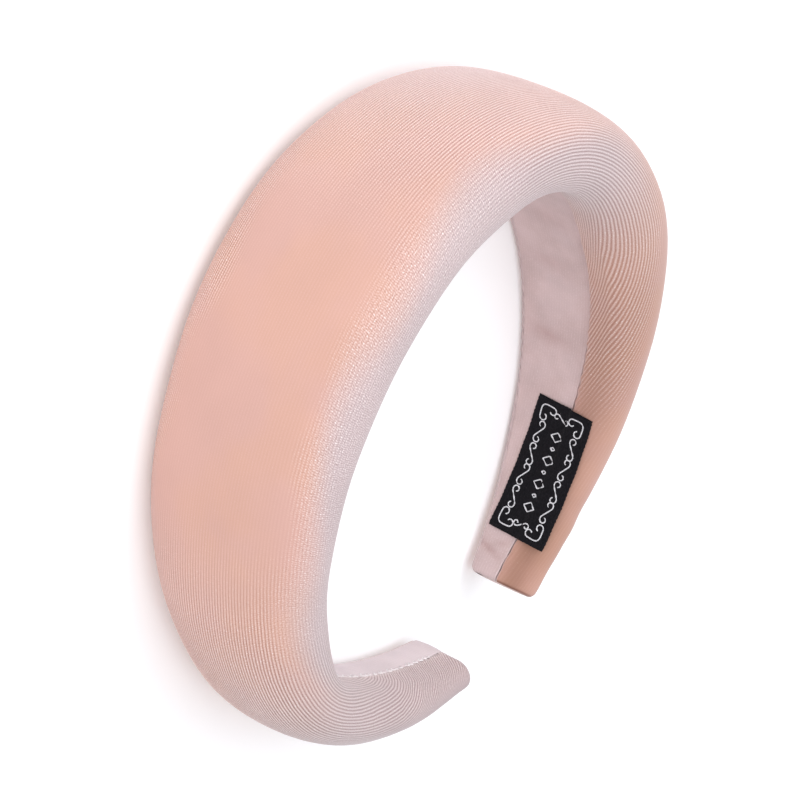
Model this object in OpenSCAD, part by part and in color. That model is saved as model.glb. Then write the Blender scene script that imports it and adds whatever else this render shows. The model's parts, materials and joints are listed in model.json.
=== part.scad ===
// Padded velvet headband, lying on its side as it rests when it is put down.
// Lengths are in millimetres and angles in degrees. The crown points to -Y, the tips to +Y.

/* [Hoop] */
// Length of the inner face from the middle of the crown to a tip
arm_len = 190; // [170:1:200]
// Radius of the inner face's bend at the crown
crown_radius = 55; // [52:0.5:64]
// Gap between the arms' inner faces at the tips
tip_gap = 23; // [16:1:50]

/* [Padding] */
// Width of the band at the crown
crown_w = 50; // [40:0.5:60]
// Width of the band at the tips
tip_w = 18; // [16:0.5:24]
// Thickness of the padding at the crown
crown_t = 19; // [12:0.5:24]
// Thickness of the padding at the tips
tip_t = 8.5; // [6:0.25:11]
// Roundness of the outer side, from 2 for an ellipse to 4 for a box with round corners
dome_power = 2.3; // [2:0.1:3.5]
// Radius of the rounding round each tip's end
tip_round = 2; // [1:0.25:2.5]
// How far the roll beside the lining stands proud of it at the crown
roll_proud = 1.4; // [0.5:0.1:2.5]
// How far the padding gives where it rests on a surface
squash = 0.5; // [0.3:0.1:1]

/* [Lining] */
// Thickness of the lining strip
lining_t = 1.2; // [0.8:0.1:2]
// Gap between neighbouring pieces of fabric
gap = 0.3; // [0.2:0.05:0.4]

/* [Label] */
// Length of the woven label along the band
label_len = 35; // [25:1:40]
// Width of the woven label across the band
label_w = 16; // [12:0.5:17]
// Thickness of the woven label
label_t = 0.5; // [0.4:0.1:0.8]
// Distance of the label's middle from the middle of the crown, along the inner face
label_place = 161; // [140:1:164]
// How far the label is turned off the line of the band
label_turn = 4; // [0:0.5:8]

/* [Hidden] */
// Sections along an arm. Place is a share of the arm, width and thickness are shares of the way
// from the tip's size up to the crown's, the roll is a share of its height at the crown, and the
// lining's two edges are shares of the band's half width at that place
PLACE = 0;
WIDTH = 1;
THICKNESS = 2;
ROLL = 3;
LINING_FRONT = 4;
LINING_REAR = 5;
//          place width thick roll  front rear
SECTIONS = [[0.00, 1.00, 1.00, 1.00, 0.50, 0.60],
            [0.30, 0.85, 0.94, 1.00, 0.50, 0.72],
            [0.55, 0.55, 0.88, 0.90, 0.42, 0.84],
            [0.80, 0.25, 0.32, 0.50, 0.18, 0.86],
            [1.00, 0.00, 0.00, 0.20, 0.06, 0.84]];

// Share of the thickness at which the band is widest
widest_at = 0.48;
// Share of the way from the lining's edge to the band's edge at which the roll is highest
crest_at = 0.55;
// Height of the small roll behind the lining
rear_proud = 0.3;
// How far the label's middle lies in front of the middle of the inner face
label_forward = 0.7;
// Size of the small bevel on the lining's showing edges
lining_bevel = 0.3;

// Fineness of the mesh: rings along an arm, and angle steps round the section and the tip
arm_rings = 36;
dome_step = 11.25;
side_step = 22.5;
flank_step = 30;
tip_step = 30;
label_steps = 12;
label_strips = 16;
walk_steps = 200;
halvings = 24;

bed_depth = lining_t + gap;

// Middle line of the inner face. Its curvature eases evenly from the crown's to the tips'
function turned(s, tip_curve) =
    (s / crown_radius + (tip_curve - 1 / crown_radius) * s * abs(s) / (2 * arm_len)) * 180 / PI;
walk_step = arm_len / walk_steps;
function walk_along(tip_curve) =
    [for (i = 0, p = [0, 0];
          i <= walk_steps;
          p = let (a = turned((i + 0.5) * walk_step, tip_curve)) p + walk_step * [cos(a), -sin(a)],
          i = i + 1) p];

// The curvature at the tips that leaves the gap between them, halving the range that holds it
function closed_to_gap(low, high, left) =
    let (mid = (low + high) / 2)
    left == 0 ? mid :
    walk_along(mid)[walk_steps].x > tip_gap / 2 ? closed_to_gap(mid, high, left - 1)
                                                : closed_to_gap(low, mid, left - 1);
tip_curve = closed_to_gap(0, 2 / crown_radius, halvings);
function heading(s) = turned(s, tip_curve);
walk = walk_along(tip_curve);
walk_x = [for (i = [0 : walk_steps]) [i * walk_step, walk[i].x]];
walk_z = [for (i = [0 : walk_steps]) [i * walk_step, walk[i].y]];

// Point at distance s along the middle line, b across the band and n out from the inner face
function on_band(s, b, n) =
    [sign(s) * lookup(abs(s), walk_x) + n * sin(heading(s)), b, lookup(abs(s), walk_z) + n * cos(heading(s))];

// A column of the table at distance s, on a smooth curve through the rows that is level at the crown
function row_at(q, i = 0) = i > len(SECTIONS) - 3 || q < SECTIONS[i + 1][PLACE] ? i : row_at(q, i + 1);
function slope(col, i) =
    i == 0 ? 0 :
    let (a = SECTIONS[i - 1], b = SECTIONS[min(i + 1, len(SECTIONS) - 1)])
    (b[col] - a[col]) / (b[PLACE] - a[PLACE]);
function share(col, s) =
    let (q = abs(s) / arm_len, i = row_at(q), a = SECTIONS[i], b = SECTIONS[i + 1],
         h = b[PLACE] - a[PLACE], u = (q - a[PLACE]) / h)
    (2 * u^3 - 3 * u^2 + 1) * a[col] + (u^3 - 2 * u^2 + u) * h * slope(col, i)
    + (3 * u^2 - 2 * u^3) * b[col] + (u^3 - u^2) * h * slope(col, i + 1);

function half_width(s) = (tip_w + (crown_w - tip_w) * share(WIDTH, s)) / 2;
function thickness(s) = tip_t + (crown_t - tip_t) * share(THICKNESS, s);
function front_edge(s) = half_width(s) * share(LINING_FRONT, s);
function rear_edge(s) = half_width(s) * share(LINING_REAR, s);
function front_proud(s) = roll_proud * share(ROLL, s);

// One side of the section under its widest point: round to the roll's crest, then down into the bed
function under_side(w, h, edge, proud) =
    let (crest = edge + crest_at * (w - edge))
    concat([for (a = [side_step : side_step : 90])
                [crest + (w - crest) * cos(a), h - (h + proud) * sin(a)]],
           [for (a = [flank_step : flank_step : 90])
                [crest - (crest - edge) * sin(a), -proud + (proud + bed_depth) * (1 - cos(a))]]);

// Section of the padding: domed outer side, front roll, bed for the lining, rear edge
function section(s) =
    let (w = half_width(s), t = thickness(s), h = widest_at * t,
         front = under_side(w, h, front_edge(s) + gap, front_proud(s)),
         rear = under_side(w, h, rear_edge(s) + gap, rear_proud))
    concat([for (a = [-90 : dome_step : 90])
                [w * sign(a) * pow(abs(sin(a)), 2 / dome_power), h + (t - h) * pow(cos(a), 2 / dome_power)]],
           front,
           [for (i = [len(rear) - 1 : -1 : 0]) [-rear[i].x, rear[i].y]]);

// The section drawn in towards its middle, for the round at a tip's end
function drawn_in(s, inset) =
    let (w = half_width(s), t = thickness(s))
    [for (p = section(s)) [p.x * (w - inset) / w, t / 2 + (p.y - t / 2) * (t - inset) / t]];

// Stations of the rings along one arm, each with how far its section is drawn in
body_len = arm_len - tip_round;
arm_stations = concat([for (i = [0 : arm_rings]) [body_len * i / arm_rings, 0]],
                      [for (a = [tip_step : tip_step : 90])
                           [body_len + tip_round * sin(a), tip_round * (1 - cos(a))]]);
function both_arms(list) =
    concat([for (i = [len(list) - 1 : -1 : 1]) [-list[i][0], list[i][1]]], list);

function pad_ring(station) =
    [for (p = drawn_in(station[0], station[1])) on_band(station[0], p.x, p.y)];
arm = [for (station = arm_stations) pad_ring(station)];

// Turning onto the side by 90 degrees and a lean: distance along the floor, and height
function along(p, lean) = p.y * sin(lean) - p.z * cos(lean);
function rise(p, lean) = p.y * cos(lean) + p.z * sin(lean);

// The lowest point of each ring at a lean, as distance along the floor and height
function lows(lean) =
    [for (ring = arm)
         let (heights = [for (p = ring) rise(p, lean)], p = ring[search(min(heights), heights)[0]])
         [along(p, 0), rise(p, 0)]];

// The lean of the floor that carries those points on both sides of the middle of weight
weights = [for (station = arm_stations) half_width(station[0]) * thickness(station[0])];
function total(list) = list * [for (v = list) 1];
weight_place = weights * [for (ring = arm) along(ring[0], 0)] / total(weights);
function lean_under(points) =
    let (spans = [for (a = points, b = points)
                      if (a.x < weight_place && b.x >= weight_place)
                          let (tilt = (b.y - a.y) / (b.x - a.x)) [a.y + tilt * (weight_place - a.x), tilt]],
         heights = [for (span = spans) span[0]])
    atan(spans[search(min(heights), heights)[0]][1]);
lean = lean_under(lows(lean_under(lows(0))));
lowest = min([for (ring = arm, p = ring) rise(p, lean)]);
ends = [for (ring = arm, p = ring) along(p, lean)];
middle = (min(ends) + max(ends)) / 2;

// A point of the band where it lies at rest, flattened where the floor meets it
function at_rest(p) = [p.x, along(p, lean) - middle, max(0, rise(p, lean) - lowest - squash)];

// Height, out from the inner face, of what the label lies on: the lining, or a roll beside it
function roll_height(b, w, h, edge, proud) =
    let (crest = edge + crest_at * (w - edge))
    b <= edge ? 0 :
    b < crest ? -proud + (proud + bed_depth) * (1 - sqrt(1 - ((crest - b) / (crest - edge))^2)) :
    h - (h + proud) * sqrt(1 - ((min(b, w) - crest) / (w - crest))^2);
function skin(s, b) =
    let (w = half_width(s), h = widest_at * thickness(s))
    min(0, b > 0 ? roll_height(b, w, h, front_edge(s) + gap, front_proud(s))
                 : roll_height(-b, w, h, rear_edge(s) + gap, rear_proud));

// Closed skin over a row of rings that all have the same number of points
module sweep(rings) {
    n = len(rings[0]);
    last = len(rings) - 1;
    sides = [for (i = [0 : last - 1], j = [0 : n - 1])
                 let (k = (j + 1) % n)
                 each [[i * n + j, (i + 1) * n + k, (i + 1) * n + j], [i * n + j, i * n + k, (i + 1) * n + k]]];
    caps = [[for (j = [n - 1 : -1 : 0]) j], [for (j = [0 : n - 1]) last * n + j]];
    polyhedron([for (ring = rings, p = ring) at_rest(p)], concat(sides, caps));
}

// Foam padding with its velvet cover, from tip to tip
module padded_band() {
    color("#dfb3a4")
        sweep([for (station = both_arms(arm_stations)) pad_ring(station)]);
}

// Velvet strip in the bed along the inner face
module lining() {
    color("#c9b1b1")
        sweep([for (station = both_arms([for (i = [0 : arm_rings]) [body_len * i / arm_rings, 0]]))
                   let (s = station[0], f = front_edge(s), r = -rear_edge(s))
                   [for (p = [[r, lining_t], [f, lining_t], [f, lining_bevel],
                              [f - lining_bevel, 0], [r + lining_bevel, 0], [r, lining_bevel]])
                        on_band(s, p.x, p.y)]]);
}

// Woven label, lying over the lining and part of the front roll near the tip on the -X side
module label() {
    across = [for (j = [0 : label_strips]) label_w * (j / label_strips - 0.5)];
    color("#1b191d")
        sweep([for (i = [0 : label_steps])
                   let (u = label_len * (i / label_steps - 0.5),
                        feet = [for (v = across)
                                    [u * cos(label_turn) - v * sin(label_turn) - label_place,
                                     u * sin(label_turn) + v * cos(label_turn) + label_forward]])
                   concat([for (f = feet) on_band(f.x, f.y, skin(f.x, f.y) - gap)],
                          [for (j = [label_strips : -1 : 0])
                               let (f = feet[j]) on_band(f.x, f.y, skin(f.x, f.y) - gap - label_t)])]);
}

padded_band();
lining();
label();
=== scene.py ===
# %% [markdown]
# # A padded velvet headband
# The real thing is a springy hoop wrapped in foam, with a cover of finely ribbed velvet drawn
# tight over it. A velvet lining closes the inside, and a woven label is stuck near one tip.
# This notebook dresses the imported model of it. The frame gives the place and the sizes. Each
# piece of cloth is then worked out as a surface and given its pile, its ribs and its sheen.

# %% Load the frame
import json

import bpy
import numpy as np
from mathutils import Matrix

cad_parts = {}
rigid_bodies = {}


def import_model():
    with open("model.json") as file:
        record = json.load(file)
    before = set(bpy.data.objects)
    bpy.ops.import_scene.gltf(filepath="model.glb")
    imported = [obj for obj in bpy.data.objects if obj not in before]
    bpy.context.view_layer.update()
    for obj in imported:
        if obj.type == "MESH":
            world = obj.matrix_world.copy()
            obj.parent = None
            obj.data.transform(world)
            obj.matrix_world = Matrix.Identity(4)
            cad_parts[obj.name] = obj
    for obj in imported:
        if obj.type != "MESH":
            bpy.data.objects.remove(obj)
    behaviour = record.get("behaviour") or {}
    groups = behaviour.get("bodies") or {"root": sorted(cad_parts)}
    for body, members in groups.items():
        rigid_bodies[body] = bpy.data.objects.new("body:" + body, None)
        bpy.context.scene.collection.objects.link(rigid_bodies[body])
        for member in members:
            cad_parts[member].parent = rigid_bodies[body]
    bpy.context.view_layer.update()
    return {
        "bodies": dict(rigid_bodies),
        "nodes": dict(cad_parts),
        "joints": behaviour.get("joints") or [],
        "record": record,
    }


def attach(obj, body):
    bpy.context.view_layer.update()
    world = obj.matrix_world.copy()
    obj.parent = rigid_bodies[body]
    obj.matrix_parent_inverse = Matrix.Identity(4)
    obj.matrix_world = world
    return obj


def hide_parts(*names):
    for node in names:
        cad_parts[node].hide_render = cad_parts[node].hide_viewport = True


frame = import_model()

MM = 0.001

# %% [markdown]
# ## The hoop's middle line
# The hoop is bent tight over the crown and opens towards its tips, so its curvature eases
# evenly along each arm. The line could be drawn by eye as a curve object, but as a formula it
# is the very line that the frame's solids follow, and every piece of cloth can use it. All
# sizes are in millimetres until a mesh is made.

# %% The middle line of the inner face
ARM = 190.0
CROWN_RADIUS = 55.0
TIP_GAP = 23.0
WALK_STEPS, TRIES = 800, 600


def turned(s, tip_curve):
    """Heading at distance s from the crown. The curvature runs evenly from the crown's to
    tip_curve at the tip, and the heading is its sum up to s."""
    return s / CROWN_RADIUS + (tip_curve - 1 / CROWN_RADIUS) * s * np.abs(s) / (2 * ARM)


walk_step = ARM / WALK_STEPS
midway = (np.arange(WALK_STEPS) + 0.5) * walk_step
curves_tried = np.linspace(0, 2 / CROWN_RADIUS, TRIES)
reach = (np.cos(turned(midway, curves_tried[:, None])) * walk_step).sum(1)
TIP_CURVE = np.interp(-TIP_GAP / 2, -reach, curves_tried)
WALK = np.arange(WALK_STEPS + 1) * walk_step
WALK_X = np.concatenate([[0], np.cumsum(np.cos(turned(midway, TIP_CURVE))) * walk_step])
WALK_Z = np.concatenate([[0], np.cumsum(-np.sin(turned(midway, TIP_CURVE))) * walk_step])


def on_band(s, b, n):
    """Point at distance s along the middle line, b across the band and n out from the inner
    face: the line's own point, moved by n along the line's outward normal."""
    s, b, n = np.broadcast_arrays(s, b, n)
    heading = turned(s, TIP_CURVE)
    x = np.sign(s) * np.interp(np.abs(s), WALK, WALK_X) + n * np.sin(heading)
    z = np.interp(np.abs(s), WALK, WALK_Z) + n * np.cos(heading)
    return np.stack([x, b, z], -1)


print("radius at the tips:", round(1 / TIP_CURVE, 1), "mm")

# %% [markdown]
# ## Lying on its side
# Put down, the band rolls onto its rear edge and leans a little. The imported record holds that
# pose in the mount where the crown meets the head: its place and its direction are all that is
# needed to lay any point of the upright band down, so nothing is fitted by hand.

# %% Lay a point of the upright band down
seat = next(mount for mount in frame["record"]["mounts"] if mount["name"] == "head_seat")
SEAT = np.array(seat["pos_m"]) / MM
LEAN = np.arctan2(-seat["axis"][2], seat["axis"][1])


def at_rest(p):
    """Turns the band by 90 degrees and the lean onto its side, sets its crown on the seat, and
    flattens what would reach under the floor."""
    y = p[..., 1] * np.sin(LEAN) - p[..., 2] * np.cos(LEAN) + SEAT[1]
    z = p[..., 1] * np.cos(LEAN) + p[..., 2] * np.sin(LEAN) + SEAT[2]
    return np.stack([p[..., 0], y, np.maximum(0, z)], -1)


print("lean of the band:", round(float(np.degrees(LEAN)), 2), "degrees")

# %% [markdown]
# ## Sections along an arm
# The padding is broad and full at the crown and slim at the tips. A short table gives each
# size at five places as a share, and a smooth curve through the rows fills in the rest. A
# lofted curve with a taper would do this too, but would hide the numbers.

# %% A table of shares and the curve through it
SECTIONS = {
    "place": [0.00, 0.30, 0.55, 0.80, 1.00],
    "width": [1.00, 0.85, 0.55, 0.25, 0.00],
    "thick": [1.00, 0.94, 0.88, 0.32, 0.00],
    "roll": [1.00, 1.00, 0.90, 0.50, 0.20],
    "front": [0.50, 0.50, 0.42, 0.18, -0.18],
    "rear": [0.60, 0.72, 0.84, 0.86, 0.84],
}


def share(column, s):
    """A column of the table at distance s: a cubic between each two rows, whose slope at a row
    is that between its neighbours, and level at the crown."""
    x, y = np.array(SECTIONS["place"]), np.array(SECTIONS[column])
    slope = np.zeros(len(x))
    slope[1:-1] = (y[2:] - y[:-2]) / (x[2:] - x[:-2])
    slope[-1] = (y[-1] - y[-2]) / (x[-1] - x[-2])
    q = np.abs(s) / ARM
    i = np.clip(np.searchsorted(x, q, side="right") - 1, 0, len(x) - 2)
    h = x[i + 1] - x[i]
    u = (q - x[i]) / h
    return (
        (2 * u**3 - 3 * u**2 + 1) * y[i]
        + (u**3 - 2 * u**2 + u) * h * slope[i]
        + (3 * u**2 - 2 * u**3) * y[i + 1]
        + (u**3 - u**2) * h * slope[i + 1]
    )


print("share of the width half way along an arm:", round(float(share("width", ARM / 2)), 2))

# %% Widths, thicknesses and edges at any place
CROWN_W, TIP_W = 50.0, 18.0
CROWN_T, TIP_T = 19.0, 8.5
ROLL_PROUD, REAR_PROUD = 1.4, -0.5
LINING_T, GAP = 1.2, 0.3
BED = LINING_T + GAP
TIP_ROUND = 1.6
NEAR_STRIP, NEAR_STRIP_FROM = 6.3, (105.0, 145.0)
ROLL_ENDS, TIP_SUNK = (118.0, 152.0), 0.1
PLUMP_AT, PLUMP_LENGTH, PLUMP_IN, PLUMP_UP = -80.0, 38.0, 5.0, 1.0


def ramp(x, low, high):
    """0 up to low, 1 from high on, and an even S between."""
    u = np.clip((x - low) / (high - low), 0, 1)
    return u * u * (3 - 2 * u)


def half_width(s):
    """From the tip's half width up to the crown's."""
    return (TIP_W + (CROWN_W - TIP_W) * share("width", s)) / 2


def plump(s):
    """1 where the roll is plumpest, just past the crown: a bell curve."""
    return np.exp(-(((s - PLUMP_AT) / PLUMP_LENGTH) ** 2))


def rear_edge(s):
    """Where the lining ends at the rear: the table's share of the half width."""
    return half_width(s) * share("rear", s)


def front_edge(s):
    """Where the lining ends at the front: the table's share, less where the roll is plump. On
    the arm without the label it narrows to an even strip along the rear edge."""
    near = ramp(s, *NEAR_STRIP_FROM)
    drawn_edge = half_width(s) * share("front", s) - PLUMP_IN * plump(s)
    return drawn_edge * (1 - near) + (NEAR_STRIP - rear_edge(s)) * near


def roll_proud(s):
    """How far the front roll stands above the lining: the table's share, but on the arm without
    the label it dies away, and at the tip the lining lies on top."""
    near = np.clip((s - ROLL_ENDS[0]) / (ROLL_ENDS[1] - ROLL_ENDS[0]), 0, 1)
    return ROLL_PROUD * share("roll", s) * (1 - near) + PLUMP_UP * plump(s) - TIP_SUNK * near


def thickness(s):
    """From the tip's thickness up to the crown's."""
    return TIP_T + (CROWN_T - TIP_T) * share("thick", s)


print("band at the crown:", 2 * half_width(0), "by", thickness(0), "mm")

# %% [markdown]
# ## Camera
# The photograph looks down at the lying band from its front right, with the camera rolled so
# that the crown stands at the top of the picture. The camera is set by two angles, a roll and
# a distance, and a long lens keeps the same mild perspective.

# %% Set the camera at the photograph's angle
VIEW_AZIMUTH, VIEW_ELEVATION = 33.4, 32.6
VIEW_ROLL = np.radians(110)
VIEW_DISTANCE = 826 * MM
LENS = 166.4
LOOK_AT = np.array([0, 0, 25]) * MM
SHIFT_RIGHT, SHIFT_UP = -10.8 * MM, 5.9 * MM


def direction(azimuth, elevation):
    """Unit vector from the object towards an azimuth, 0 at -Y and 90 at +X, and an elevation."""
    a, e = np.radians([azimuth, elevation])
    return np.array([np.sin(a) * np.cos(e), -np.cos(a) * np.cos(e), np.sin(e)])


def level_axes(away):
    """Right and up for a thing that looks level against away: the cross products of the
    vertical with away, and of away with that."""
    level = np.cross([0, 0, 1], away)
    level = level / np.linalg.norm(level)
    return level, np.cross(away, level)


def standing_at(place, right, up, back):
    """The matrix of a camera or a light: its axes and its place as columns."""
    axes = np.stack([right, up, back], 1)
    return Matrix([[*row, at] for row, at in zip(axes, place)] + [[0, 0, 0, 1]])


back = direction(VIEW_AZIMUTH, VIEW_ELEVATION)
level, upright = level_axes(back)
right = level * np.cos(VIEW_ROLL) + upright * np.sin(VIEW_ROLL)
up = upright * np.cos(VIEW_ROLL) - level * np.sin(VIEW_ROLL)
eye = LOOK_AT + SHIFT_RIGHT * right + SHIFT_UP * up + VIEW_DISTANCE * back

camera_data = bpy.data.cameras.new("camera")
camera_data.lens = LENS
camera_data.clip_start, camera_data.clip_end = 0.05, 20
camera = bpy.data.objects.new("camera", camera_data)
camera.matrix_world = standing_at(eye, right, up, back)
bpy.context.scene.collection.objects.link(camera)
bpy.context.scene.camera = camera
print("camera at", np.round(eye, 3))

# %% [markdown]
# ## Floor and light
# A plain pale floor and large soft lights show velvet best: its sheen comes from wide, weak
# light that meets the pile at a low angle. A small hard lamp would only show glare.

# %% Lay the floor and hang the lights
SKY = (0.93, 0.95, 1.0)
SKY_STRENGTH = 0.6
FLOOR_SIZE = 6.0
FLOOR_DROP = 0.2 * MM
#          name       azimuth elevation distance size power colour
LIGHTS = [("top light", 20, 75, 0.9, 0.9, 4.45, (0.93, 0.96, 1.0)),
          ("front light", 60, 28, 1.2, 0.8, 3.1, (1.0, 0.98, 0.96)),
          ("crown light", -45, 35, 1.1, 0.8, 3.8, (1.0, 0.99, 0.98))]


def soft_light(name, azimuth, elevation, distance, size, power, colour):
    """A square area light that looks at the middle of the hoop."""
    data = bpy.data.lights.new(name, "AREA")
    data.size, data.energy, data.color = size, power, colour
    away = direction(azimuth, elevation)
    light = bpy.data.objects.new(name, data)
    light.matrix_world = standing_at(LOOK_AT + distance * away, *level_axes(away), away)
    bpy.context.scene.collection.objects.link(light)


for row in LIGHTS:
    soft_light(*row)

world = bpy.data.worlds.new("sky")
world.use_nodes = True
sky = world.node_tree.nodes["Background"].inputs
sky["Color"].default_value = (*SKY, 1)
sky["Strength"].default_value = SKY_STRENGTH
bpy.context.scene.world = world
bpy.context.scene.view_settings.view_transform = "Standard"

floor_mesh = bpy.data.meshes.new("floor")
half = FLOOR_SIZE / 2
corners = [(-half, -half), (half, -half), (half, half), (-half, half)]
floor_mesh.from_pydata([(x, y, -FLOOR_DROP) for x, y in corners], [], [(0, 1, 2, 3)])
floor = bpy.data.objects.new("floor", floor_mesh)
bpy.context.scene.collection.objects.link(floor)
print("lights:", len(LIGHTS), "and a sky of strength", SKY_STRENGTH)

# %% [markdown]
# ## From arrays to meshes
# Each piece below is a grid of points, or a few of them: rows along it and columns once round
# it. One helper turns such grids into closed shells, with a point in the middle of each end.
# Faces are turned outwards by the sign of the volume that they enclose. Modelling the pieces by
# hand would give nicer names to nothing: cloth that follows a rule is easier to write than pull.

# %% Close a grid of points
def outward(points, faces):
    """Whether the faces enclose a volume above zero: each adds the solid between it and the
    origin, a third of its corner dotted with its area."""
    a, b, c, d = (points[faces[:, k]] for k in range(4))
    return np.einsum("ij,ij->", a, np.cross(b, c) + np.cross(c, d)) > 0


def closed(grid, first):
    """Points, quads and end triangles of a tube over a grid (rows, columns, 3), whose numbers
    start at first. Each end closes on the mean of its ring."""
    rows, columns = grid.shape[:2]
    points = np.concatenate([grid.reshape(-1, 3), grid[[0, -1]].mean(1)])
    at = np.arange(rows * columns).reshape(rows, columns)
    beside = np.roll(at, -1, 1)
    quads = np.stack([at[:-1], at[1:], beside[1:], beside[:-1]], -1).reshape(-1, 4)
    start, end = np.full(columns, rows * columns), np.full(columns, rows * columns + 1)
    ends = np.stack([[at[0], beside[0], start], [beside[-1], at[-1], end]])
    ends = ends.transpose(0, 2, 1).reshape(-1, 3)
    if not outward(points, quads):
        quads, ends = quads[:, ::-1], ends[:, ::-1]
    return points, quads + first, ends + first


def with_ends(values):
    """A grid's values as a list, then the mean of the first row and of the last."""
    ends = values[[0, -1]].mean(1).reshape(2, -1)
    return np.concatenate([values.reshape(-1, ends.shape[1]), ends])


print("grids can be closed")

# %% Make a piece of them, and let its values wander
def make(name, grids, cloth=None, marks=None):
    """One object of closed shells over grids of points in millimetres. For a single grid, cloth
    holds the two coordinates in the cloth of each point, and marks other values by name."""
    shells, count = [], 0
    for grid in grids:
        shells.append(closed(grid, count))
        count += len(shells[-1][0])
    points, quads, ends = (np.concatenate([shell[k] for shell in shells]) for k in range(3))
    mesh = bpy.data.meshes.new(name)
    mesh.from_pydata((points * MM).tolist(), [], quads.tolist() + ends.tolist())
    mesh.shade_smooth()
    if cloth is not None:
        corner = np.zeros(len(mesh.loops), int)
        mesh.loops.foreach_get("vertex_index", corner)
        flat = (with_ends(cloth)[corner] * MM).astype(np.float32)
        mesh.uv_layers.new(name="cloth").uv.foreach_set("vector", flat.ravel())
    for mark, values in (marks or {}).items():
        flat = with_ends(values).astype(np.float32)
        mesh.attributes.new(mark, "FLOAT", "POINT").data.foreach_set("value", flat.ravel())
    piece = bpy.data.objects.new(name, mesh)
    bpy.context.scene.collection.objects.link(piece)
    print(name, "has", 2 * len(quads) + len(ends), "triangles")
    return piece


def wander(s, q, length, seed):
    """Slow wandering between about -1 and 1: the mean of a few plane waves, whose directions,
    lengths and phases a seeded generator draws."""
    draw = np.random.default_rng(seed)
    waves = 7
    angle, phase = draw.uniform(0, 2 * np.pi, (2, waves, 1, 1))
    size = length * draw.uniform(0.7, 1.5, (waves, 1, 1))
    return np.sin(2 * np.pi * (s * np.cos(angle) + q * np.sin(angle)) / size + phase).mean(0) * 2


print("helpers ready")

# %% [markdown]
# ## The cover as cloth
# The ribs of the velvet are threads of one pitch in the cloth itself, so they show how it was
# drawn over the foam. They run along the crown, spread a little where the cloth is pulled over
# the edges, and run out under the lining's seam where the band narrows. So the surface is worked
# out in the cloth's own coordinates: s along the band, and q across the unstretched cloth. A
# texture laid over a finished shape could not follow them.

# %% Half of the section as points
DOME_POWER, TUCK_POWER = 2.3, 8.0
WIDEST_AT, CREST_AT = 0.48, 0.55
OUTLINE_POINTS = 60


def outline(s, front):
    """Half of the section at each s, from the top of the dome to the corner of the bed: a
    quarter of a superellipse down to the widest point, a quarter of an ellipse round to the
    roll's crest, and a squarer one down into the bed. Returns the place across, the place out and
    the distance along the outline, a row for each s."""
    signed, s = s[:, None], np.abs(s)[:, None]
    w, t = half_width(s), thickness(s)
    h = WIDEST_AT * t
    edge = (front_edge(signed) if front else rear_edge(s)) + GAP
    proud = roll_proud(signed) if front else REAR_PROUD + 0 * s
    crest = edge + CREST_AT * (w - edge)
    a = np.linspace(0, np.pi / 2, OUTLINE_POINTS)
    dome = w * np.sin(a) ** (2 / DOME_POWER), h + (t - h) * np.cos(a) ** (2 / DOME_POWER)
    a = a[1:]
    under = crest + (w - crest) * np.cos(a), h - (h + proud) * np.sin(a)
    tuck = (crest - (crest - edge) * np.sin(a) ** (2 / TUCK_POWER),
            -proud + (proud + BED) * (1 - np.cos(a) ** (2 / TUCK_POWER)))
    b, n = (np.concatenate([dome[k], under[k], tuck[k]], 1) for k in (0, 1))
    steps = np.hypot(np.diff(b, axis=1), np.diff(n, axis=1))
    return b, n, np.concatenate([0 * s, np.cumsum(steps, 1)], 1)


def interp_rows(x, known_x, known_y):
    """np.interp for every row of a table at once: the rows are laid end to end, each moved on
    by more than the longest of them."""
    move = np.arange(len(known_x))[:, None] * (known_x.max() + x.max() + 1)
    return np.interp((x + move).ravel(), (known_x + move).ravel(), known_y.ravel()).reshape(x.shape)


print("points on half a section:", outline(np.zeros(1), True)[0].shape[1])

# %% How the cloth is stretched, spread and shifted
RIB = 0.72
EDGE_PULL, PULL_REACH = 0.15, 15.0
SPREAD_FROM, SPREAD_LENGTH, SPREAD_CAP = 85.0, 55.0, 1.2
ARM_SPREAD = {1: 0.02, -1: 0.2}
TIP_SHIFT, TIP_SHIFT_LENGTH = 22.0, 36.0
TIP_FAN, TIP_FAN_LENGTH, TIP_FAN_POWER = 0.4, 28.0, 1.6
SPARE = 1.5


def pulled(q):
    """Length that q of loose cloth takes on the band: the stretch grows from none on the dome
    to EDGE_PULL past the edges, as q squared over q squared plus PULL_REACH squared."""
    return q + EDGE_PULL * (q - PULL_REACH * np.arctan(q / PULL_REACH))


def spread(s):
    """How far the threads have spread at s: they drift outwards along the arms, and open again
    at the near tip, where they turn across it."""
    drift = np.where(s > 0, ARM_SPREAD[1], ARM_SPREAD[-1])
    outward_drift = drift * (np.maximum(np.abs(s) - SPREAD_FROM, 0) / SPREAD_LENGTH) ** 2
    fan = TIP_FAN * (np.maximum(s - ARM + TIP_FAN_LENGTH, 0) / TIP_FAN_LENGTH) ** TIP_FAN_POWER
    return np.exp(np.minimum(outward_drift, SPREAD_CAP * drift) + fan)


def shifted(s):
    """How far the whole cloth has moved round the arm towards the front seam at s: it is pulled
    over the near tip aslant, so that the ribs run out under the lining there."""
    return TIP_SHIFT * (np.maximum(s - ARM + TIP_SHIFT_LENGTH, 0) / TIP_SHIFT_LENGTH) ** 2


longest = max(outline(np.zeros(1), front)[2][0, -1] for front in (True, False))
q_tried = np.linspace(0, longest, 500)
HALF_RIBS = int(np.ceil(np.interp(longest + SPARE, pulled(q_tried), q_tried) / RIB))
print("ribs across the cloth:", 2 * HALF_RIBS, "over", round(2 * HALF_RIBS * RIB, 1), "mm")

# %% [markdown]
# ## Ribs, gathers and the give of the foam
# The pile stands in fine rounded ribs. They are pressed flat on the outside of one arm, where a
# hand has stroked the nap down, and deepen into gathers at the tips. The foam under them is
# never quite even, and the lining's seam draws small puckers into the roll beside it. These are
# real heights, added along the surface's own normal, so they show on the outline too.

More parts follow.
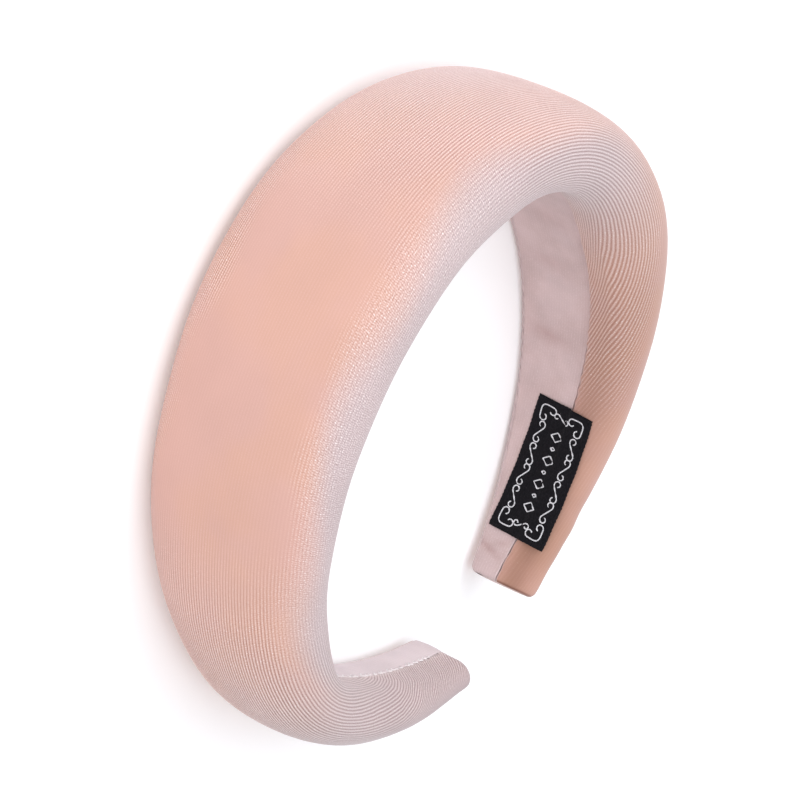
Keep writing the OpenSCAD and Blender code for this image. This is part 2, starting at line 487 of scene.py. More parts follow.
# %% Where the nap is stroked flat, and where it shows its tufts
# Ranges are in mm along the band or round the section. Of four numbers, two rise and two fall.
PAST_CROWN, OFF_CROWN = (70, 105), (20, 60)
STROKED_EDGE, EDGE_IN, EDGE_OUT, FAR_WIDER = 19.0, 4, 3, 6.5
NEAR_STROKED, FAR_STROKED, REAR_STROKED = (-20, 18, 62, 108), (48, 75), (0.62, 0.80)
FAR_TIP_STROKED, NEAR_TIP_STROKED, BELLY = (124, 148), (128, 155), (11, 18)
ROUGHED, ROUGHED_ALONG, ROUGHED_ROUND = 0.45, (62, 85, 112, 140), (-25, -12, 14, 20)
TUFTED_EDGE, TUFTED_ALONG = 17.0, (-30, 5, 78, 108)


def between(x, rise, full, fall, end):
    """0 up to rise, 1 from full to fall, and 0 again from end on: one ramp, less another."""
    return ramp(x, rise, full) * (1 - ramp(x, fall, end))


def stroked(s, arc):
    """1 where the nap is stroked flat: on the outside of the one arm and of the other, and on
    the rear edge. It eases to 0 round those, and goes below it where the nap is rubbed up."""
    edge = STROKED_EDGE + 2 * wander(s, arc, 22, 5)
    near = between(s, *NEAR_STROKED) * (1 - ramp(np.abs(arc), edge - EDGE_IN, edge + EDGE_OUT))
    edge = edge + FAR_WIDER * ramp(-s, *PAST_CROWN)
    far = ramp(-s, *FAR_STROKED) * (1 - ramp(arc, edge - EDGE_IN, edge + EDGE_OUT)) * 0.9
    round_share = -arc / (half_width(s) + thickness(s))
    rear = ramp(round_share, *REAR_STROKED) * ramp(np.abs(s), *OFF_CROWN)
    near_tip = ramp(s, *NEAR_TIP_STROKED) * (1 - ramp(arc, *BELLY)) * 0.85
    tips = ramp(-s, *FAR_TIP_STROKED) + near_tip + ramp(s, ARM - 1, ARM)
    roughed = ROUGHED * between(s, *ROUGHED_ALONG) * between(arc, *ROUGHED_ROUND)
    return np.clip(np.maximum.reduce([near, far, rear, tips]), 0, 1) - roughed


def tufted(s, arc):
    """1 where the flank is seen across the pile, so that its tufts show more than its ribs."""
    edge = TUFTED_EDGE + 1.5 * wander(s, arc, 30, 8)
    return ramp(arc, edge - 3, edge + 4) * between(s, *TUFTED_ALONG)


outside = stroked(np.linspace(-ARM, ARM, 200)[:, None], 0.0)
print("stroked flat over", round(float(outside.mean()), 2), "of the outside")

# %% Height of the cloth above its smooth form
RIB_RISE, RIB_UNEVEN = 0.085, 0.3
WHEN_STROKED, WHEN_TUFTED = 0.97, 0.6
LOWER_RIBS = [(1, 0.7, (105, 150)), (-1, 0.5, (50, 110)), (-1, 0.35, (110, 135))]
GATHER_RISE, GATHERED, GATHER_ROUND = 0.03, (ARM - 34, ARM - 8), (3, 12)
FOAM_RISE, FOAM_WAVE = 0.22, 38.0
FAR_FULL, FULL_ALONG, FULL_ROUND, FULL_SEAM = 1.9, (60, 92, 90, 200), (-12, 8), (3, 12)
TIP_EASE, EASED_ALONG, EASED_ROUND, EASED_SEAM = 0.9, (138, 184), (0, 8), (2, 6)
CROWN_EASE, CROWN_ALONG, CROWN_ROUND = 0.7, (30, 70), (12, 24)
PUCKER_RISE, PUCKER_PITCH, PUCKER_REACH = 0.16, 4.2, 3.5
CREASE_RISE, CREASE_LENGTH, CREASED_ALONG, CREASED_ROUND = 0.16, 6.5, (152, 172), (7, 13)
UNDER_LIP, SEAM_FADE = (118, 145), 2.2


def relief(s, q, arc, to_seam):
    """Sum of the ribs, the gathers, the foam's unevenness and the puckers at the seam."""
    ribs = 0.5 + 0.5 * np.cos(2 * np.pi * q / RIB)
    rise = RIB_RISE * (1 + RIB_UNEVEN * wander(s, q, 9, 1))
    rise = rise * (1 - WHEN_STROKED * stroked(s, arc)) * (1 - WHEN_TUFTED * tufted(s, arc))
    for arm, part, along in LOWER_RIBS:
        rise = rise * (1 - part * ramp(arm * s, *along))
    gathered = ramp(np.abs(s), *GATHERED) * ramp(np.abs(arc), *GATHER_ROUND) * ramp(s, 0, 1)
    gathered = gathered * ramp(arc, 0, 9) * np.clip(0.75 + 0.7 * wander(s, q, 5, 2), 0.1, 2)
    foam = FOAM_RISE * (wander(s, arc, FOAM_WAVE, 3) - 0.6)
    full = between(-s, *FULL_ALONG) * ramp(arc, *FULL_ROUND) * ramp(to_seam, *FULL_SEAM)
    tip = ramp(-s, *EASED_ALONG) * ramp(arc, *EASED_ROUND) * ramp(to_seam, *EASED_SEAM)
    crown = (1 - ramp(np.abs(s), *CROWN_ALONG)) * (1 - ramp(arc, *CROWN_ROUND))
    foam = foam + FAR_FULL * full - TIP_EASE * tip - CROWN_EASE * crown
    pucker = PUCKER_RISE * np.cos(2 * np.pi * s / PUCKER_PITCH + wander(s, q, 30, 4))
    pucker = pucker * np.exp(-to_seam / PUCKER_REACH) * ramp(np.abs(s), *OFF_CROWN) * (arc > 0)
    crease = CREASE_RISE * wander(s, 0.35 * arc, CREASE_LENGTH, 12)
    crease = crease * ramp(-s, *CREASED_ALONG) * ramp(arc, *CREASED_ROUND)
    height = (ribs - 1) * (rise + GATHER_RISE * gathered) + foam + pucker + crease
    return height * ramp(to_seam - BED * ramp(s, *UNDER_LIP), 0, SEAM_FADE)


print("heights ready, ribs of", RIB_RISE, "mm")

# %% [markdown]
# ## Rows and columns of the cover
# The columns are threads of the cloth, four to a rib. Threads that have run out past a seam
# lie on under the lining, across the bed, so that the mesh stays one closed shell. The rows
# stand closer at the tips, and the last ones draw in round the end.

# %% Place the rows
BODY_ROWS, TIP_ROWS = 100, 32
TIP_STRETCH = 28.0
END_STEPS = np.radians([18, 36, 54, 72, 90])
CAP_SHRINK = np.array([0.75, 0.45, 0.15])
CAP_BULGE = 0.35


def arm_rows(body_rows, tip_rows):
    """Rows along both arms as distance, drawing in and shrinking: even steps over the body,
    finer ones near a tip, a quarter circle round its end and a few rings over its cap."""
    body = ARM - TIP_ROUND
    s = np.concatenate([
        np.linspace(0, body - TIP_STRETCH, body_rows // 2, endpoint=False),
        np.linspace(body - TIP_STRETCH, body, tip_rows + 1),
        body + TIP_ROUND * np.sin(END_STEPS),
        ARM + CAP_BULGE * (1 - CAP_SHRINK**2),
    ])
    inset = np.zeros(len(s))
    inset[-len(END_STEPS) - len(CAP_SHRINK):-len(CAP_SHRINK)] = TIP_ROUND * (1 - np.cos(END_STEPS))
    inset[-len(CAP_SHRINK):] = TIP_ROUND
    shrink = np.ones(len(s))
    shrink[-len(CAP_SHRINK):] = CAP_SHRINK
    return [np.concatenate([sign * values[:0:-1], values])
            for sign, values in ((-1, s), (1, inset), (1, shrink))]


cover_rows = arm_rows(BODY_ROWS, TIP_ROWS)
print("rows of the cover:", len(cover_rows[0]))

# %% Work out the cover's points
COLUMNS_PER_RIB = 4
LOOSE_BODY, LOOSE_TIP, LOOSE_LENGTH = 0.05, 0.32, 5.5
LOOSE_ALONG = (ARM - 45, ARM - 10)


def drawn_in(b, n, s, inset, shrink):
    """The section drawn in towards its middle, by inset at its edges and by a factor."""
    w, t = half_width(s), thickness(s)
    return b * (w - inset) / w * shrink, t / 2 + (n - t / 2) * (t - inset) / t * shrink


def cover_points(rows, q, with_relief):
    """Each row's half outlines, read at the length that each thread's q takes there. Past the
    seam the outline goes on to the middle of the bed. Returns the points, the direction out of
    the surface, and the cloth's coordinates and masks."""
    s, inset, shrink = rows
    lining_middle = (front_edge(s) - rear_edge(s)) / 2
    signed_arc = np.sign(q) * pulled(np.abs(q)) * spread(s)[:, None] + shifted(s)[:, None]
    loose = LOOSE_BODY + (LOOSE_TIP - LOOSE_BODY) * ramp(s, *LOOSE_ALONG)[:, None]
    wandering = wander(s[:, None], q[None], LOOSE_LENGTH, 9)
    signed_arc = signed_arc + loose * wandering * ramp(np.abs(q), 0, 4)
    b, n, to_seam = np.zeros((3, len(s), len(q)))
    for sign in (1, -1):
        here = sign * signed_arc >= 0
        arc = np.where(here, sign * signed_arc, 0)
        known_b, known_n, known_arc = outline(s, sign > 0)
        length = known_arc[:, -1:]
        farthest = np.maximum(arc.max(1, keepdims=True), length) + 1
        known_arc = np.concatenate([known_arc, farthest], 1)
        known_b = np.concatenate([sign * known_b, lining_middle[:, None]], 1)
        known_n = np.concatenate([known_n, known_n[:, -1:]], 1)
        b = np.where(here, interp_rows(arc, known_arc, known_b), b)
        n = np.where(here, interp_rows(arc, known_arc, known_n), n)
        to_seam = np.where(here, np.maximum(length - arc, 0), to_seam)
    across, out = np.gradient(b, axis=1), np.gradient(n, axis=1)
    size = np.hypot(across, out) + 1e-9
    b_out, n_out = -out / size, across / size
    s_grid, q_grid = np.broadcast_arrays(s[:, None], q[None])
    if with_relief:
        rise = relief(s_grid, q_grid, signed_arc, to_seam) * shrink[:, None]
        b, n = b + rise * b_out, n + rise * n_out
    b, n = drawn_in(b, n, s[:, None], inset[:, None], shrink[:, None])
    out_of = on_band(s[:, None], b + b_out, n + n_out) - on_band(s[:, None], b, n)
    return on_band(s[:, None], b, n), out_of, s_grid, q_grid, signed_arc, to_seam


half_columns = HALF_RIBS * COLUMNS_PER_RIB
cover_q = np.arange(-half_columns, half_columns) * RIB / COLUMNS_PER_RIB
points, _, s_grid, q_grid, arc_grid, to_seam = cover_points(cover_rows, cover_q, True)
print("cover grid:", points.shape[:2])

# %% [markdown]
# ## The padding's push
# The foam presses the velvet outwards between the places where it is held, so the cloth bulges
# a little more than the sewing pattern says. This is a cloth simulation on a coarse copy of the
# cover, which starts slightly too small. It is held under the lining and by a stitch here and
# there along the roll. Only its movement is kept, capped, and spread smoothly over the fine
# cover, since the ribs are much finer than any mesh that a simulation could move in time.

# %% Blow up a tube of cloth
PRESSURE, PUSH_FRAMES = 22.0, 16
SIM_SCALE = 0.01
STIFFNESS = {"tension": 15, "compression": 15, "shear": 8, "bending": 0.5}


def blown(start, grip):
    """A closed tube of cloth over the grid, pushed out by an even pressure. It is simulated at
    ten times its real size, where Blender's cloth works best."""
    points, quads, ends = closed(start * SIM_SCALE, 0)
    mesh = bpy.data.meshes.new("push")
    mesh.from_pydata(points.tolist(), [], quads.tolist() + ends.tolist())
    thing = bpy.data.objects.new("push", mesh)
    bpy.context.scene.collection.objects.link(thing)
    group = thing.vertex_groups.new(name="held")
    weights = with_ends(grip[..., None])[:, 0].round(1)
    for level in np.unique(weights[weights > 0]):
        group.add(np.flatnonzero(weights == level).tolist(), float(level), "REPLACE")
    cloth = thing.modifiers.new("push", "CLOTH")
    cloth.settings.vertex_group_mass = "held"
    cloth.settings.quality = 5
    for kind, value in STIFFNESS.items():
        setattr(cloth.settings, kind + "_stiffness", value)
    cloth.settings.use_pressure = True
    cloth.settings.uniform_pressure_force = PRESSURE
    cloth.settings.effector_weights.gravity = 0
    cloth.collision_settings.use_collision = False
    for frame in range(1, PUSH_FRAMES + 1):
        bpy.context.scene.frame_set(frame)
    result = thing.evaluated_get(bpy.context.evaluated_depsgraph_get()).to_mesh()
    flat = np.zeros(len(result.vertices) * 3)
    result.vertices.foreach_get("co", flat)
    bpy.data.objects.remove(thing)
    bpy.data.meshes.remove(mesh)
    bpy.context.scene.frame_set(1)
    return flat.reshape(-1, 3)[: start.shape[0] * start.shape[1]].reshape(start.shape) / SIM_SCALE


print("the cloth is pushed over", PUSH_FRAMES, "frames")

# %% Let the padding push the cover out
PUSH_ROWS, PUSH_TIP_ROWS, PUSH_RIBS = 100, 16, 2
SLACK, SLACK_CAP, STITCH_GRIP = 0.2, 0.7, 0.9
FREE_FROM, HELD_TO, STITCHED_TO, PUSHED_FROM = (1.5, 6), 1.6, 3.2, (1.2, 3)
FREE_TO_TIP, HELD_AT_TIP = (ARM - 6, ARM - 1), ARM - 2.5
UNDER_LABEL, LABEL_COVERS = 4.5, (126, 138, 181, 187)


def spread_over(fine, coarse):
    """Weights of the coarse places for each fine place: a bell curve as wide as their spacing,
    made to add up to one."""
    reach = np.interp(fine, coarse, np.gradient(coarse))[:, None] * 0.8
    weights = np.exp(-0.5 * ((fine[:, None] - coarse[None]) / reach) ** 2)
    return weights / weights.sum(1, keepdims=True)


push_rows = arm_rows(PUSH_ROWS, PUSH_TIP_ROWS)
push_q = cover_q[:: COLUMNS_PER_RIB * PUSH_RIBS]
drawn_points, out, s_push, _, _, push_seam = cover_points(push_rows, push_q, False)
free = ramp(push_seam, *FREE_FROM) * (1 - ramp(np.abs(s_push), *FREE_TO_TIP))
stitch_rows = (np.arange(len(s_push)) % 2 == 0)[:, None]
grip = np.where((push_seam < STITCHED_TO) & stitch_rows, STITCH_GRIP, 0.0)
grip = np.where(push_seam < HELD_TO, 1.0, grip)
grip = np.where(np.abs(s_push) > HELD_AT_TIP, 1.0, grip)
pushed = blown(drawn_points - SLACK * free[..., None] * out, grip) - drawn_points
far = np.linalg.norm(pushed, axis=-1, keepdims=True)
pushed = pushed * np.minimum(1, SLACK_CAP / np.maximum(far, 1e-9))
to_label = push_seam - UNDER_LABEL * between(-s_push, *LABEL_COVERS)
pushed = pushed * ramp(to_label, *PUSHED_FROM)[..., None]
along, around = spread_over(cover_rows[0], push_rows[0]), spread_over(cover_q, push_q)
points = points + np.einsum("ij,jkc,lk->ilc", along, pushed, around)
outward_push = (pushed * out).sum(-1)
print("pushed out by", outward_push[free > 0.9].mean().round(2), "mm, from",
      outward_push.min().round(2), "to", outward_push.max().round(2), "mm")

# %% [markdown]
# ## Painted sheen and shade of the nap
# All of the pile leans one way along the cloth, so the two arms look different, and that look is
# painted into the colour: on the one the flank and the tip get a pale, cool painted sheen, on the
# other everything inside gets a warm, deep painted shade. The crown is between the two, with a
# band of painted sheen. Each is kept as a value for each point, which the finish will read.

# %% Work out where sheen and shade are painted
FLANK_EDGE, FLANK_SOFT, FLANK_ALONG = 17.0, 11.0, (-100, -50)
TIP_PALE, TIP_ROUNDED, BESIDE_SEAM = (78, 135), (-16, 8), (1.5, 6)
SEAM_PALE, SEAM_PALE_TO = 0.8, (72, 98)
DEEP_EDGE, DEEP_SOFT, DEEP_ALONG, DEEP_SEAM = 6.0, 17.0, (45, 175), (1, 5)
TIP_DEEPER, DEEPER_ALONG = 1.2, (152, 180)
CREASE_DEEP, CREASE_ALONG, CREASE_SEAM = 0.5, (74, 100, 125, 150), (1.5, 5.5)
BELLY_DEEP, BELLY_ROUND = [(0.1, (40, 75)), (0.08, (90, 145))], (13, 24)
CROWN_SHEEN_AT, CROWN_SHEEN_LENGTH, CROWN_SHEEN_REAR = -44.0, 30.0, (-50, -26)
CROWN_SHEEN_LOSS, CROWN_SHEEN_FRONT = 0.55, (-12, 10)


def painted_sheen(s, arc, to_seam):
    """From 0, warm, to 1, a pale painted sheen: the near flank, the near tip all round, the rolled
    rear edge and a strip beside the lining."""
    edge = FLANK_EDGE + 3 * wander(s, arc, 40, 6)
    flank = ramp(arc, edge, edge + FLANK_SOFT) * ramp(s, *FLANK_ALONG)
    tip = ramp(s, *TIP_PALE) * ramp(arc, *TIP_ROUNDED)
    beside = 1 - ramp(to_seam, *BESIDE_SEAM)
    seam = (arc > 0) * beside * (1 - ramp(-s, *SEAM_PALE_TO)) * SEAM_PALE
    return np.clip(np.maximum.reduce([flank, tip, (arc < 0) * beside, seam]), 0, 1)


def painted_shade(s, arc, to_seam):
    """1 where shade is painted for pile that leans towards the eye: inside the far arm, more and
    more to its tip, in a crease beside the seam, and a little on the underside of the near arm."""
    wider = ramp(-s, *PAST_CROWN) * (1 - TIP_DEEPER * ramp(-s, *DEEPER_ALONG))
    edge = DEEP_EDGE * (1 + wider)
    far = ramp(-s, *DEEP_ALONG) * ramp(arc, edge, edge + DEEP_SOFT)
    far = far * (0.4 + 0.6 * ramp(to_seam, *DEEP_SEAM))
    crease = CREASE_DEEP * between(-s, *CREASE_ALONG) * (arc > 0) * (1 - ramp(to_seam, *CREASE_SEAM))
    belly = sum(depth * ramp(s, *along) for depth, along in BELLY_DEEP)
    return np.maximum.reduce([far, crease, belly * (1 - ramp(arc, *BELLY_ROUND))])


def crown_sheen_band(s, arc):
    """1 in a band of painted sheen over the crown, a bell curve along the band, and most towards the
    rear.
    """
    band = np.exp(-(((s - CROWN_SHEEN_AT) / CROWN_SHEEN_LENGTH) ** 2)) * ramp(arc, *CROWN_SHEEN_REAR)
    return band * (1 - CROWN_SHEEN_LOSS * ramp(arc, *CROWN_SHEEN_FRONT))


# Three of these paint light into the colour: a pale sheen, shade where the pile leans towards the eye, and
# a sheen over the crown.
marks = {
    "pale_sheen": painted_sheen(s_grid, arc_grid, to_seam),
    "stroked": stroked(s_grid, arc_grid),
    "tufted": tufted(s_grid, arc_grid),
    "deep": painted_shade(s_grid, arc_grid, to_seam),
    "crown_sheen": crown_sheen_band(s_grid, arc_grid),
}
print("mean of each:", {name: round(float(values.mean()), 2) for name, values in marks.items()})

# %% Make the cover
# Painted shade along the far tip's end edge.
END_SHADE_ALONG = (ARM - 0.7, ARM - 0.2, ARM + 0.05, ARM + 0.3)
# Painted light that lifts the shaded crease beside the lining's seam.
SEAM_LIGHT, SEAM_LIGHT_REACH, LIP_WIDE, LIP_ALONG = 0.5, (BED - 0.1, BED + 0.5), 0.6, (130, 145)

marks["end_shade"] = between(-s_grid, *END_SHADE_ALONG)
marks["seam_light"] = SEAM_LIGHT * (1 - ramp(to_seam - LIP_WIDE * ramp(s_grid, *LIP_ALONG), *SEAM_LIGHT_REACH))
cover = make("velvet_cover", [at_rest(points)], np.stack([s_grid, q_grid], -1), marks)
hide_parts("padded_band")
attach(cover, "root")

# %% [markdown]
# ## The lining
# A strip of the same velvet is glued into the inside. It is cut on a curve: broad at the
# crown, narrow at the tips, and nearer the rear edge towards them. Its edges are folded under,
# so they are round, and it never lies quite flat: there are soft dents where it is stuck down.

# %% What the lining lies on
LINING_NEAR, LINING_END = 0.22, 0.15
LIP, LIP_THICK, LIP_BACK, LIP_SOFT, LIP_APART = 0.4, 0.06, 0.02, 0.3, 0.05
FRONT_LIP, REAR_LIP = (140.0, 152.0), (30.0, 50.0)
#         along across length width depth turn
DENTS = [(-127.5, -6.8, 2.0, 5.0, 0.55, 10), (-106.0, -7.2, 2.2, 4.5, 0.35, 0),
         (-89.0, -5.0, 4.0, 6.0, 0.25, 20), (-183.4, -6.0, 0.8, 3.5, 0.60, 20),
         (-181.0, -3.5, 0.7, 2.0, 0.35, -25), (60.0, -4.0, 3.0, 5.0, 0.30, -10),
         (118.0, -6.0, 2.2, 5.0, 0.35, 8), (20.0, 2.0, 4.0, 6.0, 0.25, 0),
         (-40.0, -2.0, 4.0, 7.0, 0.25, 12)]


def lining_dents(s, b):
    """Soft hollows: each is a bell curve over its own length and width, turned by its angle."""
    depth = 0 * s
    for along, across, length, width, deep, turn in DENTS:
        c, d = np.cos(np.radians(turn)), np.sin(np.radians(turn))
        u = ((s - along) * c + (b - across) * d) / length
        v = ((b - across) * c - (s - along) * d) / width
        depth = depth + deep * np.exp(-(u**2) - v**2)
    return depth


def roll_height(b, w, h, edge, proud):
    """Height of the roll beside the lining: nothing up to the lining's edge, then up the tuck
    to the crest, and down again as a quarter ellipse."""
    crest = edge + CREST_AT * (w - edge)
    into = np.clip((crest - b) / (crest - edge), 0, 1)
    rising = -proud + (proud + BED) * (1 - (1 - into**TUCK_POWER) ** (1 / TUCK_POWER))
    falling = h - (h + proud) * np.sqrt(np.clip(1 - ((np.minimum(b, w) - crest) / (w - crest)) ** 2, 0, 1))
    return np.where(b <= edge, 0, np.where(b < crest, rising, falling))


def skin(s, b):
    """Height, out from the inner face, of the roll on either side of the lining."""
    w, h = half_width(s), WIDEST_AT * thickness(s)
    front = roll_height(b, w, h, front_edge(s) + GAP, roll_proud(s))
    rear = roll_height(-b, w, h, rear_edge(s) + GAP, REAR_PROUD)
    return np.where(2 * b > front_edge(s) - rear_edge(s), front, rear)


print("height of the roll beside it:", [round(float(-skin(s, front_edge(s) + 2)), 1) for s in (0, -80)])

# %% Cut the strip
LINING_ROWS = 430


def beyond(b, apart=0.0):
    """Whether b lies past the corner of the cover on either side of the lining, by that much."""
    return (b > beside_roll + apart) | (b < -beside_rear - apart)


def lip_drop(b):
    """How far a lip hangs down over the corner beside it: as much as the roll lies lower there."""
    front = ramp(b - beside_roll, 0, LIP_SOFT) * skin(lining_s, front_side)
    return front + ramp(-b - beside_rear, 0, LIP_SOFT) * skin(lining_s, -rear_side)


body = ARM - LINING_END
lining_s = np.linspace(-body, body, LINING_ROWS)[:, None]
beside_roll = front_edge(lining_s) + LINING_NEAR
beside_rear = rear_edge(lining_s) + LINING_NEAR
front_side = beside_roll + LIP * ramp(lining_s, *FRONT_LIP)
rear_side = beside_rear + LIP * ramp(-lining_s, *REAR_LIP)

# %% Fold its edges and lay it in
LINING_COLUMNS, UNDER_EVERY = 56, 4
FOLD_RADIUS, EDGE_LIGHT_REACH, EDGE_LIGHT = 0.18, (0.05, 0.35), 0.3
PUFF, PUFF_FROM_EDGE = 0.16, 2.5
EDGE_WAVE, EDGE_WAVE_LENGTH, WAVED_ALONG = 0.03, 4.4, (30, 70)
LINING_SHEEN_SHARE, LINING_SHEEN_ALONG, DENT_AT_FULL_SHADE = 0.75, (90, 160), 0.5

u = 0.5 - 0.5 * np.cos(np.linspace(0, np.pi, LINING_COLUMNS))[None]
edge_wave = EDGE_WAVE * np.sin(2 * np.pi * lining_s / EDGE_WAVE_LENGTH)
edge_wave = edge_wave * ramp(np.abs(lining_s), *WAVED_ALONG)
b_top = -rear_side + (front_side + rear_side + edge_wave) * u
to_edge = np.minimum(b_top + rear_side, front_side + edge_wave - b_top)
fold = 1 - np.sqrt(1 - (1 - np.clip(to_edge / FOLD_RADIUS, 0, 1)) ** 2)
slack = PUFF * (1 - (2 * u - 1) ** 4) * (1 + 0.5 * wander(lining_s, b_top, 17, 11))
n_top = FOLD_RADIUS * fold - slack * ramp(to_edge, 0, PUFF_FROM_EDGE) + lining_dents(lining_s, b_top)
n_top = np.where(beyond(b_top), np.minimum(n_top, LIP_THICK), n_top) + lip_drop(b_top)
b_under = b_top[:, ::-1][:, ::UNDER_EVERY]
n_under = np.where(beyond(b_under, LIP_APART), LIP_THICK + LIP_BACK + lip_drop(b_under), LINING_T)
past_round = np.clip((np.abs(lining_s) - ARM + TIP_ROUND) / TIP_ROUND, 0, 1)
end_inset = TIP_ROUND * (1 - np.sqrt(1 - past_round**2))
b_ring, n_ring = drawn_in(np.concatenate([b_top, b_under], 1), np.concatenate([n_top, n_under], 1),
                          lining_s, end_inset, 1)
to_fold = np.concatenate([to_edge, 0 * to_edge[:, ::UNDER_EVERY]], 1)
lining = make("velvet_lining", [at_rest(on_band(lining_s, b_ring, n_ring))],
              np.stack(np.broadcast_arrays(lining_s, b_ring), -1),
              # The next mark paints a pale sheen towards the near tip.
              {"pale_sheen": LINING_SHEEN_SHARE * ramp(lining_s, *LINING_SHEEN_ALONG) + 0 * b_ring,
               # The next mark paints light along the folded edges.
               "edge_light": EDGE_LIGHT * (1 - ramp(to_fold, *EDGE_LIGHT_REACH)),
               # The next mark paints shade in the dents.
               "dent_shade": np.clip(lining_dents(lining_s, b_ring) / DENT_AT_FULL_SHADE, 0, 1)})
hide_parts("lining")
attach(lining, "root")

# %% [markdown]
# ## The woven label
# A small black damask label is stuck over the lining near one tip, a little askew, so that one
# side of it climbs the roll. It is bent with what lies under it. So its points are given in its
# own plane, and one function lays them down. The same function will carry its border's threads.

# %% Lay the label down
LABEL_LENGTH, LABEL_WIDTH = 35.0, 16.0
LABEL_PLACE, LABEL_FORWARD = 161.0, 0.7
LABEL_TURN = np.radians(4)
LABEL_UNDER, LABEL_TOP = 0.32, 0.68
LABEL_STEP = 0.5
LABEL_DROOP, DROOP_REACH, LABEL_THINNEST = 0.16, 0.9, 0.08
FRAY_REACH = 1.5
FRAYS = [(0.08, 5.3, 1), (0.05, 11.9, 2)]


def on_label(u, v, lift):
    """Point at u along the label and v across it, at a height above what it lies on."""
    s = u * np.cos(LABEL_TURN) - v * np.sin(LABEL_TURN) - LABEL_PLACE
    b = u * np.sin(LABEL_TURN) + v * np.cos(LABEL_TURN) + LABEL_FORWARD
    return at_rest(on_band(s, b, np.minimum(0, skin(s, b)) - lift))


print("label", LABEL_PLACE, "mm from the crown, turned by", round(float(np.degrees(LABEL_TURN))), "degrees")

# %% Make the label
def frayed(along, seed):
    """How far a cut edge stands out at each place along it: the sum of two wavelets."""
    return sum(height * np.sin(along * pitch + turns * seed) for height, pitch, turns in FRAYS)


def even_steps(length):
    """Even places over a length, its middle at 0."""
    return np.linspace(-length / 2, length / 2, int(length / LABEL_STEP) + 1)


u, v = even_steps(LABEL_LENGTH)[:, None], even_steps(LABEL_WIDTH)[None]
to_end = LABEL_LENGTH / 2 - np.abs(u)
to_side = LABEL_WIDTH / 2 - np.abs(v)
u_edge = u + np.sign(u) * frayed(v, 1) * ramp(FRAY_REACH - to_end, 0, FRAY_REACH)
v_edge = v + np.sign(v) * frayed(u, 2) * ramp(FRAY_REACH - to_side, 0, FRAY_REACH)
droop = LABEL_DROOP * (np.exp(-to_end / DROOP_REACH) + np.exp(-to_side / DROOP_REACH))
lift_top = LABEL_TOP - np.minimum(droop, LABEL_TOP - LABEL_UNDER - LABEL_THINNEST)
top = on_label(u_edge, v_edge, lift_top)
under = on_label(u_edge, v_edge, np.full(droop.shape, LABEL_UNDER))
flat_cloth = np.stack(np.broadcast_arrays(u_edge, v_edge), -1)
label = make("woven_label", [np.concatenate([top, under[:, ::-1]], 1)],
             np.concatenate([flat_cloth, flat_cloth[:, ::-1]], 1))
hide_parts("label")
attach(label, "root")

# %% [markdown]
# ## Stitches at the tip
# Towards the near tip the lining is also caught down by hand, with small slanting stitches along
# its front edge. They are single short threads, all alike but for a little care less or more, so
# each one is the same few rings moved to its place. An array of placed copies does this at once.

# %% Sew the stitches
STITCH_LENGTH, STITCH_PITCH, STITCH_THICK = 1.5, 1.7, 0.52
STITCH_FORWARD, STITCH_LIFT = 0.6, 0.1
STITCH_SLANT = np.radians(38)
STITCH_RUN = (146.0, 186.0)
PLACE_UNEVEN, SLANT_UNEVEN, SIZE_UNEVEN = 0.45, 0.35, (0.7, 1.2)

draw = np.random.default_rng(21)
place = np.arange(*STITCH_RUN, STITCH_PITCH)
place = place + draw.uniform(-PLACE_UNEVEN, PLACE_UNEVEN, len(place))
slant = STITCH_SLANT + draw.uniform(-SLANT_UNEVEN, SLANT_UNEVEN, len(place))
size = STITCH_LENGTH * draw.uniform(*SIZE_UNEVEN, len(place))
t = np.linspace(-1, 1, 9)
round_angle = np.linspace(0, 2 * np.pi, 8, endpoint=False)


def stitch(s, turn, length):
    """A short thread that lies on the cloth across the edge: its ends dip in, and its thickness
    follows the root of one minus the fourth power along it."""
    radius = STITCH_THICK / 2 * np.sqrt(1.02 - t[:, None] ** 4)
    along, aside = t[:, None] * length / 2, radius * np.cos(round_angle)
    s_of = s + along * np.cos(turn) - aside * np.sin(turn)
    b_of = front_edge(s_of) + STITCH_FORWARD + along * np.sin(turn) + aside * np.cos(turn)
    n_of = skin(s_of, b_of) - STITCH_LIFT * (1 - 1.5 * t[:, None] ** 4) - radius * np.sin(round_angle)
    return at_rest(on_band(s_of, b_of, n_of))


stitches = make("seam_stitches", [stitch(*row) for row in zip(place, slant, size)])
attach(stitches, "root")
print("stitches:", len(place))

# %% [markdown]
# ## The label's border
# A traditional running scroll goes round the label in pale thread, with a hook at each corner,
# and a row of lozenges fills the middle. A scroll is drawn by the way that its heading turns.
# Where the turning grows with the distance from the middle, both ends curl up. It could be
# drawn with curve handles too, but two numbers say it all. The thread is then a flat tube along
# that line, notched where each pick of the weave holds it down.

# %% Draw the scrolls in the label's plane
PATH_STEPS = 72
SIDE_PITCH, SIDE_COUNT = 5.7, 4
SIDE_PLACE, END_PLACE = 5.0, 14.0
S_LENGTH, S_LEAN, S_CURL, S_STRAIGHT, S_POWER = 11.2, -0.62, 5.2, 0.22, 1.35
END_S_SIZE = 0.78
HOOK_LENGTH, HOOK_CURL, HOOK_STRAIGHT, HOOK_POWER = 13.6, 4.4, 0.42, 1.15
HOOK_CORNER, HOOK_SHARP = 0.85, 8.0
HOOK_PLACE = np.array([15.4, 6.0])
LOZENGES, LOZENGE_PITCH = 7, 3.1
OPEN_LOZENGE, SMALL_LOZENGE = np.array([1.25, 1.6]), np.array([0.45, 0.6])

x = np.linspace(-1, 1, PATH_STEPS)


def curled(curl, straight, power):
    """How far the heading has turned at x: nothing over the straight middle, then a power of
    the rest, up to curl at both ends."""
    return curl * np.clip((np.abs(x) - straight) / (1 - straight), 0, 1) ** power


